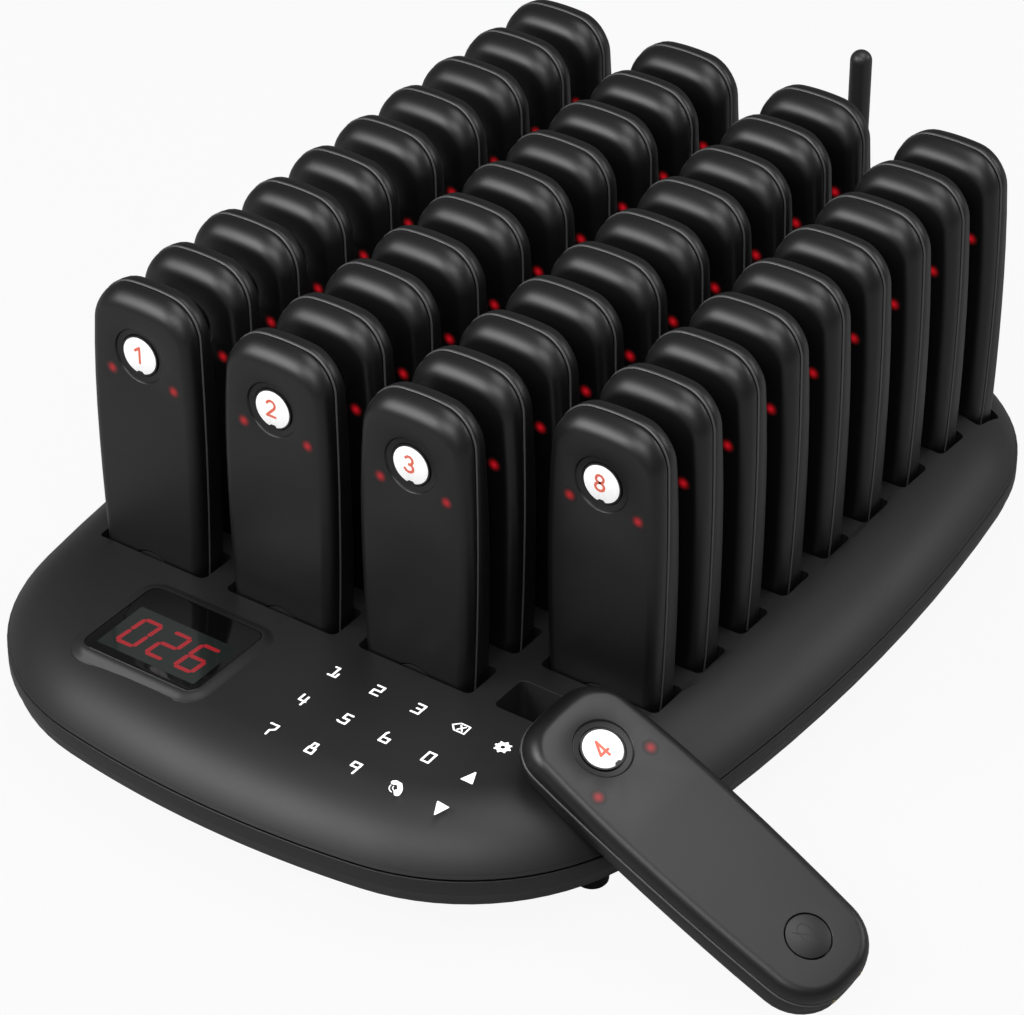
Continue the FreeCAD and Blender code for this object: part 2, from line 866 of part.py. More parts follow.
def lean(solid):
    """Turns a standing pager, held at its lamps' midpoint, as it leans on the base."""
    solid.translate(up * -lamp_height)
    solid.rotate(origin, up, loose_roll)
    solid.rotate(origin, right, loose_lean - quarter_turn)
    solid.rotate(origin, up, loose_heading - quarter_turn)
    solid.translate(at(loose_x, loose_y))
    return solid


def resting_height(case, dome):
    """How high the leaning pager's lamps are once it touches the dome or the table."""
    height = loose_start_height
    case.translate(up * height)
    for _ in range(settle_steps):
        above_table = case.optimalBoundingBox(False).ZMin
        drop = min(case.distToShape(dome)[0], above_table) - seat_gap
        case.translate(up * -drop)
        height -= drop
    return height


def place_loose_pager(pieces):
    pieces = {name: lean(solid) for name, solid in pieces.items()}
    dome = outline_ring(base_arcs, dome_section())
    dome = dome.fuse(outline_plate(base_arcs, dome_width, deck_z - shell_wall, deck_z))
    height = resting_height(pieces["pager_04_rear_shell"].copy(), dome)
    for solid in pieces.values():
        solid.translate(up * height)
    return pieces


def place_docked_pagers():
    pager = make_docked_pager()
    placed = {}
    for column, row in all_slots():
        number = row * columns + column + 1
        if number != loose_pager_number:
            spot = at(column_x(column), row_y(row), pager_base_z)
            placed[f"pager_{number:02d}"] = pager.translated(spot)
    return placed


def all_pieces():
    pieces = {
        "top_shell": make_top_shell(),
        "bottom_shell": make_bottom_shell(),
        "rubber_feet": make_rubber_feet(),
        "case_screws": make_case_screws(),
        "display_window": make_display_window(),
        "display_module": make_display_module(),
        "control_board": make_control_board(),
        "charging_board": make_charging_board(),
        "contact_pins": make_contact_pins(),
        "dc_jack": make_dc_jack(),
        "antenna_socket": make_antenna_socket(),
        "antenna_knuckle": make_antenna_knuckle(),
        "antenna_whip": make_antenna_whip(),
    }
    pieces.update(place_docked_pagers())
    pieces.update(place_loose_pager(make_loose_pager()))
    return pieces


def write_pieces():
    """The origin goes to the middle of the whole object's footprint, on the table."""
    pieces = all_pieces()
    extent = Part.makeCompound(list(pieces.values())).optimalBoundingBox(False)
    shift = at(-extent.Center.x, -extent.Center.y)
    print("origin moved by", round(shift.x, 3), round(shift.y, 3))
    os.makedirs("parts", exist_ok=True)
    for name, solid in pieces.items():
        solid.translated(shift).exportStep(f"parts/{name}.step")


if __name__ == "__main__":
    write_pieces()
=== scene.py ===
import json
import math

import bmesh
import bpy
from mathutils import Matrix, Vector


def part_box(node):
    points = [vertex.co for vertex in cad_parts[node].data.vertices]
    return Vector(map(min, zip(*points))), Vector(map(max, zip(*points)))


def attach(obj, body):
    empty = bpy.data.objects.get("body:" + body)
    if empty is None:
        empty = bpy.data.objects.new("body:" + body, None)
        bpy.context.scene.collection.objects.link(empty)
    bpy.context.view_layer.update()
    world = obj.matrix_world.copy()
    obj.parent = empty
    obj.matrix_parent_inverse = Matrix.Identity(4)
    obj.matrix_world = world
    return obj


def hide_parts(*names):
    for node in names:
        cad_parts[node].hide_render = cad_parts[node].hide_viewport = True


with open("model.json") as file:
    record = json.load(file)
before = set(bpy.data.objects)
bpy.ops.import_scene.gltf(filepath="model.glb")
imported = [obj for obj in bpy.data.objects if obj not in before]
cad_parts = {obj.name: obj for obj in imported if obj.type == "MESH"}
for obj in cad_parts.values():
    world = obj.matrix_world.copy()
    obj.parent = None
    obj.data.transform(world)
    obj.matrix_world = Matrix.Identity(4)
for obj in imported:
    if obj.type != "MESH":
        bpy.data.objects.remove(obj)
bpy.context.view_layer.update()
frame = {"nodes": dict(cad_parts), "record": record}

# Sizes in millimetres. Heights are above the table, and other places are from the base's
# middle and the first row's face.
mm = 0.001
columns = 4
rows = 10
column_pitch = 60.0
row_pitch = 28.24
leaning_number = 4

base_half_width = 145.7
base_front_reach = 86.1
base_back_reach = 313.8
base_widest_at = 111.3
front_arc_radius = 411.0
front_corner_radius = 86.5
side_arc_radius = 810.0
back_corner_radius = 84.0
back_arc_radius = 440.0
underside_z = 7.0
band_low_z = 24.5
band_top_z = 30.7
dome_rim_z = 31.8
deck_z = 49.2
dome_width = 30.0
dome_radius = (dome_width ** 2 + (deck_z - dome_rim_z) ** 2) / (2 * (deck_z - dome_rim_z))
skirt_low_z = 19.2
skirt_inset = 1.9
taper_inset = 20.0
cover_wall = 1.6
cover_lip_inset = 3.4
cover_groove = 0.9
cover_groove_softness = 0.12
slot_half_width = 24.9
slot_half_depth = 8.9
slot_floor_z = 20.9
slot_corner = 2.8
slot_flare = 0.3
slot_lip = ((0.2, 0.08), (0.1, 0.3))
platform_height = 1.2
platform_skirt = 4.6
platform_rim = 0.4
platform_rim_insets = (0.14, 0.1, 0.06)
platform_rim_heights = (0.1, 0.1, -1.1)
cut_overrun = 2
window_x = -50.3
window_y = -36.2
window_half_width = 25.8
window_half_depth = 21.2
window_corner = 4.4
window_thickness = 1.5
window_edge_radius = 0.25
panel_x = -49.6
panel_y = -40.4
panel_half_width = 22.1
panel_half_depth = 12.7
panel_corner = 0.6
mark_lift = 0.02

foot_radius = 6.2
foot_boss_radius = 6.6
foot_boss_low_z = 3.0
foot_boss_high_z = 15.5
screw_well_radius = 2.5
bay_low_corner = (-42, 299.8, 0)
bay_high_corner = (32, 320, 23.5)
bay_hole_start_y = 297
bay_hole_depth = 6
connector_z = 18.0
jack_x = -22
jack_hole_radius = 4.5
antenna_x = 16.1
antenna_hole_radius = 3.2

pager_half_width = 24.4
pager_length = 140.8
pager_widest_at = 84.0
pager_thickness = 16.8
pager_base_z = 21.4
pager_side_radius = 1100.0
pager_low_radius = 115.0
pager_low_corner = 18.5
pager_high_radius = 110.0
pager_high_corner = 15.0
seam_low = -5.8
seam_high = -6.3
lamp_height = 106.1
lamp_half_spacing = 14.1
lamp_reach = 3.1
badge_height = 115.3
badge_low_step = 0.3
badge_middle_depth = 1.075
dish_radius = 11.2
dish_depth = 0.9
mute_height = 21.2
mute_radius = 8.15
mute_well_radius = 8.75
mute_well_depth = 2.6

antenna_radius = 4.4
antenna_shoulder_z = 23.4
tongue_radius = 4.2
tongue_thickness = 3.6
tongue_half_width = 4.1
tongue_reach = 5.6

FRONT = Matrix.Rotation(math.radians(90), 4, "X")


def base_corner():
    """Where the base's middle and the first row's face lie in the frame, in metres."""
    shell_low, shell_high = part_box("top_shell")
    pager_low, pager_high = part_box("pager_01")
    middle_x = (shell_low.x + shell_high.x) / 2
    return Vector((middle_x, pager_low.y, 0))


base_place = Matrix.Translation(base_corner())


# Drawing and shaping


def draw_lines(bm, start, *points):
    """Straight runs on from a vertex; gives the last vertex."""
    for point in points:
        end = bm.verts.new(point)
        bm.edges.new((start, end))
        start = end
    return start


def draw_arc(bm, start, centre, axis, degrees, steps):
    """An arc on from a vertex, turned round a centre; gives the last vertex."""
    turned = bmesh.ops.spin(bm, geom=[start], cent=centre, axis=axis,
                            angle=math.radians(degrees), steps=steps)
    return [part for part in turned["geom_last"] if isinstance(part, bmesh.types.BMVert)][0]


def merge(bm, distance=0.002):
    bmesh.ops.remove_doubles(bm, verts=bm.verts, dist=distance)


def face_outward(bm):
    bmesh.ops.recalc_face_normals(bm, faces=bm.faces)


def open_edges_at(bm, height, tolerance=0.01):
    return [edge for edge in bm.edges if len(edge.link_faces) == 1
            and all(abs(vert.co.z - height) < tolerance for vert in edge.verts)]


def corner_centre(first, first_reach, second, second_reach, side):
    gap = second - first
    along = (first_reach ** 2 - second_reach ** 2 + gap.length ** 2) / (2 * gap.length)
    aside = math.sqrt(first_reach ** 2 - along ** 2)
    unit = gap.normalized()
    turned = Vector((-unit.y, unit.x, 0)) * aside
    foot = first + unit * along
    return max(foot + turned, foot - turned, key=lambda point: side * point.y)


def bearing(start, end):
    return math.degrees(math.atan2(end.y - start.y, end.x - start.x))


def outline(half_width, widest, side_radius, low, low_radius, low_corner,
            high, high_radius, high_corner, steps):
    """Eight arcs, each tangent to the next, as (centre, radius, start, end, steps)."""
    low_centre = Vector((0, low + low_radius, 0))
    high_centre = Vector((0, high - high_radius, 0))
    side_centre = Vector((half_width - side_radius, widest, 0))
    low_turn = corner_centre(low_centre, low_radius - low_corner,
                             side_centre, side_radius - low_corner, -1)
    high_turn = corner_centre(high_centre, high_radius - high_corner,
                              side_centre, side_radius - high_corner, 1)
    first = bearing(low_centre, low_turn)
    second = bearing(side_centre, low_turn)
    third = bearing(side_centre, high_turn)
    fourth = bearing(high_centre, high_turn)
    across, corner, along = steps

    def mirrored(centre):
        return Vector((-centre.x, centre.y, 0))

    return [
        (low_centre, low_radius, -180 - first, first, across),
        (low_turn, low_corner, first, second, corner),
        (side_centre, side_radius, second, third, along),
        (high_turn, high_corner, third, fourth, corner),
        (high_centre, high_radius, fourth, 180 - fourth, across),
        (mirrored(high_turn), high_corner, 180 - fourth, 180 - third, corner),
        (mirrored(side_centre), side_radius, 180 - third, 180 - second, along),
        (mirrored(low_turn), low_corner, 180 - second, 180 - first, corner),
    ]


def carry_round(bm, arcs):
    """The section drawn at x = minus its inset goes once round the outline."""
    section = list(bm.verts) + list(bm.edges)
    centre, radius, start, end, steps = arcs[0]
    bmesh.ops.translate(bm, vec=(radius, 0, 0), verts=bm.verts)
    bmesh.ops.rotate(bm, cent=(0, 0, 0), matrix=Matrix.Rotation(math.radians(start), 3, "Z"),
                     verts=bm.verts)
    bmesh.ops.translate(bm, vec=centre, verts=bm.verts)
    for centre, radius, start, end, steps in arcs:
        turned = bmesh.ops.spin(bm, geom=section, cent=centre, axis=(0, 0, 1),
                                angle=math.radians(end - start), steps=steps)
        section = turned["geom_last"]
    merge(bm)


def turned_piece(profile, steps=48):
    """A closed turned shape about z from (radius, height) points."""
    bm = bmesh.new()
    first, *others = [(radius, 0, height) for radius, height in profile]
    draw_lines(bm, bm.verts.new(first), *others)
    bmesh.ops.spin(bm, geom=list(bm.verts) + list(bm.edges), cent=(0, 0, 0), axis=(0, 0, 1),
                   angle=math.radians(360), steps=steps, use_merge=True)
    merge(bm)
    face_outward(bm)
    return bm


def rounded_face(bm, half_x, half_y, corner, centre, z, steps=4):
    """A flat face with rounded corners."""
    made = bmesh.ops.create_grid(bm, x_segments=1, y_segments=1, size=1)
    verts = made["verts"]
    bmesh.ops.scale(bm, vec=(half_x, half_y, 1), verts=verts)
    bmesh.ops.translate(bm, vec=(centre[0], centre[1], z), verts=verts)
    face = verts[0].link_faces[0]
    before = set(bm.faces) - {face}
    bmesh.ops.bevel(bm, geom=verts, offset=corner, segments=steps, profile=0.5,
                    affect="VERTICES", material=-1)
    return [made_face for made_face in bm.faces if made_face not in before][0]


def step_in(bm, face, thickness, rise):
    bmesh.ops.inset_individual(bm, faces=[face], thickness=thickness, depth=rise)
    return face


def set_height(face, height):
    for vert in face.verts:
        vert.co.z = height


def push_down(bm, face, height):
    """The face moves down to a height and leaves walls behind it."""
    made = bmesh.ops.extrude_discrete_faces(bm, faces=[face])["faces"][0]
    set_height(made, height)
    return made


def add_copy(bm, other, material=None):
    """Another bmesh's faces join this one."""
    mesh = bpy.data.meshes.new("joined")
    other.to_mesh(mesh)
    count = len(bm.faces)
    bm.from_mesh(mesh)
    bpy.data.meshes.remove(mesh)
    bm.faces.ensure_lookup_table()
    if material is not None:
        for face in bm.faces[count:]:
            face.material_index = material


def make_mesh(bm, name, sharp=38):
    """Millimetres become metres, and edges steeper than sharp stay crisp."""
    bmesh.ops.scale(bm, vec=(mm, mm, mm), verts=bm.verts)
    mesh = bpy.data.meshes.new(name)
    bm.to_mesh(mesh)
    bm.free()
    mesh.shade_smooth()
    mesh.set_sharp_from_angle(angle=math.radians(sharp))
    return mesh


def add_piece(name, mesh, place, body, materials, replaces=()):
    """The piece goes to its place, rides on its body and takes its finishes."""
    mesh.transform(place)
    piece = bpy.data.objects.new(name, mesh)
    bpy.context.scene.collection.objects.link(piece)
    for material in materials:
        mesh.materials.append(material)
    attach(piece, body)
    if replaces:
        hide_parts(*replaces)
    return piece


def thicken(piece, thickness):
    wall = piece.modifiers.new("wall", "SOLIDIFY")
    wall.thickness = thickness * mm
    wall.offset = -1
    wall.use_even_offset = False


def carve(bm, cutters):
    """Takes the cutters' shapes out of a closed shape."""
    objects = []
    for shape in [bm] + cutters:
        mesh = bpy.data.meshes.new("carving")
        shape.to_mesh(mesh)
        shape.free()
        objects.append(bpy.data.objects.new("carving", mesh))
        bpy.context.scene.collection.objects.link(objects[-1])
    for cutter in objects[1:]:
        cut = objects[0].modifiers.new("cut", "BOOLEAN")
        cut.operation = "DIFFERENCE"
        cut.solver = "EXACT"
        cut.object = cutter
    seen = objects[0].evaluated_get(bpy.context.evaluated_depsgraph_get())
    carved = bmesh.new()
    carved.from_mesh(seen.to_mesh())
    seen.to_mesh_clear()
    for used in objects:
        mesh = used.data
        bpy.data.objects.remove(used)
        bpy.data.meshes.remove(mesh)
    return carved


def box_shape(low, high):
    bm = bmesh.new()
    made = bmesh.ops.create_cube(bm, size=1)["verts"]
    bmesh.ops.scale(bm, vec=[top - bottom for bottom, top in zip(low, high)], verts=made)
    bmesh.ops.translate(bm, vec=[(top + bottom) / 2 for bottom, top in zip(low, high)],
                        verts=made)
    return bm


def rod_shape(radius, start, length, direction="Z", steps=40):
    bm = bmesh.new()
    made = bmesh.ops.create_cone(bm, cap_ends=True, segments=steps, radius1=radius,
                                 radius2=radius, depth=length)["verts"]
    bmesh.ops.translate(bm, vec=(0, 0, length / 2), verts=made)
    if direction == "Y":
        bmesh.ops.rotate(bm, cent=(0, 0, 0), matrix=Matrix.Rotation(math.radians(-90), 3, "X"),
                         verts=made)
    bmesh.ops.translate(bm, vec=start, verts=made)
    return bm


# Finishes


def add_node(tree, kind, **settings):
    node = tree.nodes.new(kind)
    for name, value in settings.items():
        setattr(node, name, value)
    return node


def grain_group():
    """Fine moulded grain: a height for a bump, and a slow change of gloss."""
    group = bpy.data.node_groups.new("moulded_grain", "ShaderNodeTree")
    group.interface.new_socket("Grain size", in_out="INPUT", socket_type="NodeSocketFloat")
    group.interface.new_socket("Roughness", in_out="INPUT", socket_type="NodeSocketFloat")
    group.interface.new_socket("Unevenness", in_out="INPUT", socket_type="NodeSocketFloat")
    group.interface.new_socket("Height", in_out="OUTPUT", socket_type="NodeSocketFloat")
    group.interface.new_socket("Gloss", in_out="OUTPUT", socket_type="NodeSocketFloat")
    given = add_node(group, "NodeGroupInput")
    put_out = add_node(group, "NodeGroupOutput")
    place = add_node(group, "ShaderNodeTexCoord")
    grain = add_node(group, "ShaderNodeTexNoise")
    grain.inputs["Detail"].default_value = 2
    slow = add_node(group, "ShaderNodeTexNoise")
    slow.inputs["Scale"].default_value = 22
    slow.inputs["Detail"].default_value = 3
    spread = add_node(group, "ShaderNodeMath", operation="SUBTRACT")
    spread.inputs[1].default_value = 0.5
    scaled = add_node(group, "ShaderNodeMath", operation="MULTIPLY_ADD")
    group.links.new(place.outputs["Object"], grain.inputs["Vector"])
    group.links.new(place.outputs["Object"], slow.inputs["Vector"])
    group.links.new(given.outputs["Grain size"], grain.inputs["Scale"])
    group.links.new(slow.outputs["Fac"], spread.inputs[0])
    group.links.new(spread.outputs[0], scaled.inputs[0])
    group.links.new(given.outputs["Unevenness"], scaled.inputs[1])
    group.links.new(given.outputs["Roughness"], scaled.inputs[2])
    group.links.new(grain.outputs["Fac"], put_out.inputs["Height"])
    group.links.new(scaled.outputs[0], put_out.inputs["Gloss"])
    return group


grain = grain_group()


def moulded(name, colour, roughness, grain_size=2600, bump=0.06, unevenness=0.08,
            specular=0.5, metallic=0.0, coat=0.0):
    """A moulded or cast finish with a fine grain."""
    material = bpy.data.materials.new(name)
    material.use_nodes = True
    tree = material.node_tree
    shader = tree.nodes["Principled BSDF"]
    surface = add_node(tree, "ShaderNodeGroup", node_tree=grain)
    surface.inputs["Grain size"].default_value = grain_size
    surface.inputs["Roughness"].default_value = roughness
    surface.inputs["Unevenness"].default_value = unevenness
    height = add_node(tree, "ShaderNodeBump")
    height.inputs["Strength"].default_value = bump
    height.inputs["Distance"].default_value = 0.0002
    tint = add_node(tree, "ShaderNodeMix", data_type="RGBA")
    tint.inputs["A"].default_value = (*[part * 0.88 for part in colour], 1)
    tint.inputs["B"].default_value = (*[min(1, part * 1.12) for part in colour], 1)
    tree.links.new(surface.outputs["Height"], tint.inputs["Factor"])
    tree.links.new(tint.outputs["Result"], shader.inputs["Base Color"])
    tree.links.new(surface.outputs["Gloss"], shader.inputs["Roughness"])
    tree.links.new(surface.outputs["Height"], height.inputs["Height"])
    tree.links.new(height.outputs["Normal"], shader.inputs["Normal"])
    shader.inputs["Specular IOR Level"].default_value = specular
    shader.inputs["Metallic"].default_value = metallic
    shader.inputs["Coat Weight"].default_value = coat
    return material


def lit(material, colour, strength):
    """The finish also gives off a little light of its own: a lamp's light on the display digits, a
    painted glow on the key marks and badges.
    """
    shader = material.node_tree.nodes["Principled BSDF"]
    shader.inputs["Emission Color"].default_value = (*colour, 1)
    shader.inputs["Emission Strength"].default_value = strength
    return material


def lamp_finish():
    """The case over a lamp: red in the middle, the case's own colour at its edge."""
    material = moulded("pager_lamp_glow", pager_black, 0.45)
    tree = material.node_tree
    shader = tree.nodes["Principled BSDF"]
    place = add_node(tree, "ShaderNodeUVMap", uv_map="lamp")
    reach = add_node(tree, "ShaderNodeVectorMath", operation="LENGTH")
    ramp = add_node(tree, "ShaderNodeValToRGB")
    ramp.color_ramp.elements[0].position = 0.05
    ramp.color_ramp.elements[0].color = (0.42, 0.004, 0.012, 1)
    ramp.color_ramp.elements[1].position = 1.0
    ramp.color_ramp.elements[1].color = (0, 0, 0, 1)
    for place_on_ramp, red in ((0.35, 0.22), (0.62, 0.07), (0.82, 0.014)):
        step = ramp.color_ramp.elements.new(place_on_ramp)
        step.color = (red, red * 0.008, red * 0.02, 1)
    tree.links.new(place.outputs["UV"], reach.inputs[0])
    tree.links.new(reach.outputs["Value"], ramp.inputs["Fac"])
    tree.links.new(ramp.outputs["Color"], shader.inputs["Emission Color"])
    shader.inputs["Emission Strength"].default_value = 1.0
    return material


case_black = (0.009, 0.009, 0.0094)
pager_black = (0.0045, 0.0045, 0.0047)

finish = {
    "case_plastic": moulded("case_plastic", case_black, 0.50),
    "pager_plastic": moulded("pager_plastic", pager_black, 0.40),
    # Lighter grey on the seam's rounded lip: a painted highlight where the lip catches the light.
    "seam_lip_painted_highlight": moulded("seam_lip_painted_highlight", (0.07, 0.07, 0.072), 0.35),
    "pager_symbol": moulded("pager_symbol", (0.008, 0.008, 0.008), 0.6),
    "foot_rubber": moulded("foot_rubber", (0.014, 0.014, 0.014), 0.75, 1400, 0.2),
    "steel": moulded("steel", (0.55, 0.55, 0.56), 0.32, 900, 0.05, metallic=1.0),
    "window_plastic": moulded("window_plastic", (0.003, 0.003, 0.003), 0.06, bump=0.0,
                              unevenness=0.02, specular=0.35),
    "window_panel": moulded("window_panel", (0.013, 0.017, 0.015), 0.08, bump=0.0,
                            unevenness=0.02),
    "digit_red": lit(moulded("digit_red", (0.12, 0.01, 0.01), 0.1, bump=0.0,
                             unevenness=0.02), (0.20, 0.005, 0.012), 1.0),
    "digit_block": moulded("digit_block", (0.10, 0.02, 0.02), 0.3),
    # The key marks are white print, not lamps: their emission is a painted glow.
    "legend_white_painted_glow": lit(moulded("legend_white_painted_glow", (0.85, 0.85, 0.85), 0.5), (1, 1, 1), 0.6),
    # The badge discs are white plastic, not lamps: their emission is a painted glow.
    "badge_white": lit(moulded("badge_white", (0.86, 0.86, 0.86), 0.45), (1, 1, 1), 0.25),
    "number_red": moulded("number_red", (0.80, 0.16, 0.10), 0.5),
    "board_laminate": moulded("board_laminate", (0.03, 0.16, 0.07), 0.4, 500, 0.1),
    "contact_metal": moulded("contact_metal", (0.78, 0.60, 0.26), 0.25, metallic=1.0),
    "jack_plastic": moulded("jack_plastic", (0.012, 0.012, 0.012), 0.5),
    "antenna_plastic": moulded("antenna_plastic", (0.016, 0.016, 0.017), 0.42),
    "battery_wrap": moulded("battery_wrap", (0.45, 0.46, 0.48), 0.35, 700, 0.05),
}
finish["lamp_glow"] = lamp_finish()


# The base


base_arcs = outline(base_half_width, base_widest_at, side_arc_radius,
                    -base_front_reach, front_arc_radius, front_corner_radius,
                    base_back_reach, back_arc_radius, back_corner_radius, (20, 16, 12))


def column_x(column):
    return (column - (columns - 1) / 2) * column_pitch


def row_middle_y(row):
    return row * row_pitch + pager_thickness / 2


def slot_wells():
    """The room of each slot as a closed shape, a little wider at the deck."""
    bm = bmesh.new()
    for row in range(rows):
        for column in range(columns):
            lid = rounded_face(bm, slot_half_width + slot_flare, slot_half_depth + slot_flare,
                               slot_corner, (column_x(column), row_middle_y(row)),
                               deck_z + cut_overrun, 6)
            made = bmesh.ops.extrude_face_region(bm, geom=[lid], use_keep_orig=True)["geom"]
            well = [part for part in made if isinstance(part, bmesh.types.BMFace)][0]
            set_height(well, deck_z)
            for inset, drop in slot_lip:
                set_height(step_in(bm, well, inset, 0), deck_z - drop)
            push_down(bm, well, slot_floor_z)
    face_outward(bm)
    return bm


def part_deck(bm):
    """Cuts the flat deck between the slots, so that no part of it holds more than one slot."""
    cuts = [((column_x(column) + column_pitch / 2, 0, 0), (1, 0, 0))
            for column in range(columns - 1)]
    cuts += [((0, row_middle_y(row) + row_pitch / 2, 0), (0, 1, 0)) for row in range(rows - 1)]
    for place, direction in cuts:
        flat = [part for parts in (bm.verts, bm.edges, bm.faces) for part in parts
                if all(abs(vert.co.z - deck_z) < 0.01 for vert in getattr(part, "verts", [part]))]
        bmesh.ops.bisect_plane(bm, geom=flat, plane_co=place, plane_no=direction)


def cover_height(x, y):
    """How high the top cover's outside is near its front, without the window's table."""
    inset = front_arc_radius - math.hypot(x, y + base_front_reach - front_arc_radius)
    fall = max(0, dome_width - inset)
    return deck_z - dome_radius + math.sqrt(dome_radius ** 2 - fall ** 2)


def make_platform():
    """A soft skirt rises from the cover to the window's edge, round a recess."""
    bm = bmesh.new()
    steps = 10
    table = rounded_face(bm, window_half_width + platform_skirt + platform_rim,
                         window_half_depth + platform_skirt + platform_rim,
                         window_corner + platform_skirt + platform_rim, (window_x, window_y), 0, 8)
    for number in range(steps):
        step_in(bm, table, platform_skirt / steps, 1)
    for inset in platform_rim_insets:
        step_in(bm, table, inset, 1)
    bmesh.ops.delete(bm, geom=[table], context="FACES")
    top = deck_z + platform_height
    for vert in bm.verts:
        ring = round(vert.co.z)
        share = ring / steps
        if ring > steps:
            vert.co.z = top + platform_rim_heights[ring - steps - 1]
        else:
            low = cover_height(vert.co.x, vert.co.y) - 0.03
            vert.co.z = low + (top - low) * share * share * (3 - 2 * share)
    return bm


def make_top_shell():
    bm = bmesh.new()
    lid_z = slot_floor_z - 3 * cut_overrun
    groove_low_z = band_top_z + 0.05
    groove_high_z = dome_rim_z - cover_groove_softness
    start = bm.verts.new((-cover_lip_inset, 0, lid_z))
    rim = draw_lines(bm, start, (-cover_lip_inset, 0, groove_low_z),
                     (-cover_groove, 0, groove_low_z), (-cover_groove, 0, groove_high_z),
                     (-cover_groove_softness, 0, groove_high_z), (0, 0, dome_rim_z))
    curve_z = deck_z - dome_radius
    spread = math.degrees(math.asin(dome_width / dome_radius))
    draw_arc(bm, rim, (-dome_width, 0, curve_z), (0, 1, 0), -spread, 16)
    carry_round(bm, base_arcs)
    bmesh.ops.contextual_create(bm, geom=open_edges_at(bm, deck_z))
    part_deck(bm)
    bmesh.ops.contextual_create(bm, geom=open_edges_at(bm, lid_z))
    face_outward(bm)
    bm = carve(bm, [slot_wells()])
    lid = [face for face in bm.faces if any(abs(vert.co.z - lid_z) < 0.01 for vert in face.verts)]
    bmesh.ops.delete(bm, geom=lid, context="FACES")
    platform = make_platform()
    add_copy(bm, platform)
    platform.free()
    piece = add_piece("top_cover", make_mesh(bm, "top_cover", 30), base_place,
                      "charging_base", [finish["case_plastic"]], ["top_shell"])
    thicken(piece, cover_wall)
    return piece


def foot_places():
    return [(side * x, y) for side in (-1, 1) for x, y in ((114.3, -10.5), (106.0, 239.8))]


def screw_places():
    return [(side * x, y) for side in (-1, 1)
            for x, y in ((95.0, -30.2), (60.0, 135.48), (60.0, 284.8))]


def make_bottom_shell():
    bm = bmesh.new()
    start = bm.verts.new((-0.6, 0, band_top_z))
    corner = draw_lines(bm, start, (-0.45, 0, band_top_z))
    side = draw_arc(bm, corner, (-0.45, 0, band_top_z - 0.45), (0, 1, 0), 90, 4)
    low = draw_lines(bm, side, (0, 0, band_low_z + 0.35), (-0.1, 0, band_low_z + 0.1),
                     (-0.35, 0, band_low_z - 0.2))
    draw_lines(bm, low, (-skirt_inset + 0.1, 0, skirt_low_z + 0.3),
               (-skirt_inset - 0.35, 0, skirt_low_z - 0.2),
               (-taper_inset + 0.6, 0, underside_z + 0.4),
               (-taper_inset - 0.1, 0, underside_z + 0.12), (-taper_inset - 0.8, 0, underside_z))
    carry_round(bm, base_arcs)
    bmesh.ops.contextual_create(bm, geom=open_edges_at(bm, underside_z))
    bmesh.ops.contextual_create(bm, geom=open_edges_at(bm, band_top_z))
    face_outward(bm)
    cutters = [box_shape(bay_low_corner, bay_high_corner)]
    for radius, x in ((jack_hole_radius, jack_x), (antenna_hole_radius, antenna_x)):
        cutters.append(rod_shape(radius, (x, bay_hole_start_y, connector_z), bay_hole_depth, "Y"))
    cutters += [rod_shape(screw_well_radius, (x, y, underside_z - 1), 2.5, steps=24)
                for x, y in screw_places()]
    bm = carve(bm, cutters)
    lid = [face for face in bm.faces
           if all(abs(vert.co.z - band_top_z) < 0.01 for vert in face.verts)]
    bmesh.ops.delete(bm, geom=lid, context="FACES")
    for x, y in foot_places():
        boss = turned_piece([(0, foot_boss_low_z), (6.1, foot_boss_low_z), (6.45, 3.2),
                             (foot_boss_radius, 3.7), (foot_boss_radius, foot_boss_high_z),
                             (0, foot_boss_high_z)])
        bmesh.ops.translate(boss, vec=(x, y, 0), verts=boss.verts)
        add_copy(bm, boss)
        boss.free()
    piece = add_piece("bottom_case", make_mesh(bm, "bottom_case", 30), base_place,
                      "charging_base", [finish["case_plastic"]],
                      ["bottom_shell"])
    return piece


def make_feet():
    bm = bmesh.new()
    for x, y in foot_places():
        pad = turned_piece([(0, 0), (5.1, 0), (5.7, 0.25), (6.1, 0.8), (foot_radius, 1.4),
                            (foot_radius, 2.99), (0, 2.99)])
        bmesh.ops.translate(pad, vec=(x, y, 0), verts=pad.verts)
        add_copy(bm, pad)
        pad.free()
    return add_piece("foot_pads", make_mesh(bm, "foot_pads"), base_place, "charging_base",
                     [finish["foot_rubber"]], ["rubber_feet"])


def make_window():
    bm = bmesh.new()
    top = deck_z + platform_height
    pane = rounded_face(bm, window_half_width, window_half_depth, window_corner,
                        (window_x, window_y), top - window_thickness, 8)
    made = bmesh.ops.extrude_face_region(bm, geom=[pane])
    raised = [part for part in made["geom"] if isinstance(part, bmesh.types.BMVert)]
    bmesh.ops.translate(bm, vec=(0, 0, window_thickness), verts=raised)
    face_outward(bm)
    rim = [edge for edge in bm.edges if all(vert.co.z > top - 0.01 for vert in edge.verts)]
    bmesh.ops.bevel(bm, geom=rim, offset=window_edge_radius, segments=3, profile=0.5,
                    affect="EDGES", material=-1)
    piece = add_piece("window_pane", make_mesh(bm, "window_pane"), base_place,
                      "charging_base", [finish["window_plastic"]],
                      ["display_window"])
    panel = bmesh.new()
    face = rounded_face(panel, panel_half_width, panel_half_depth, panel_corner,
                        (panel_x, panel_y), top + mark_lift / 2)
    face_outward(panel)
    if face.normal.z < 0:
        face.normal_flip()
    add_piece("window_panel", make_mesh(panel, "window_panel"), base_place, "charging_base",
              [finish["window_panel"]])
    return piece


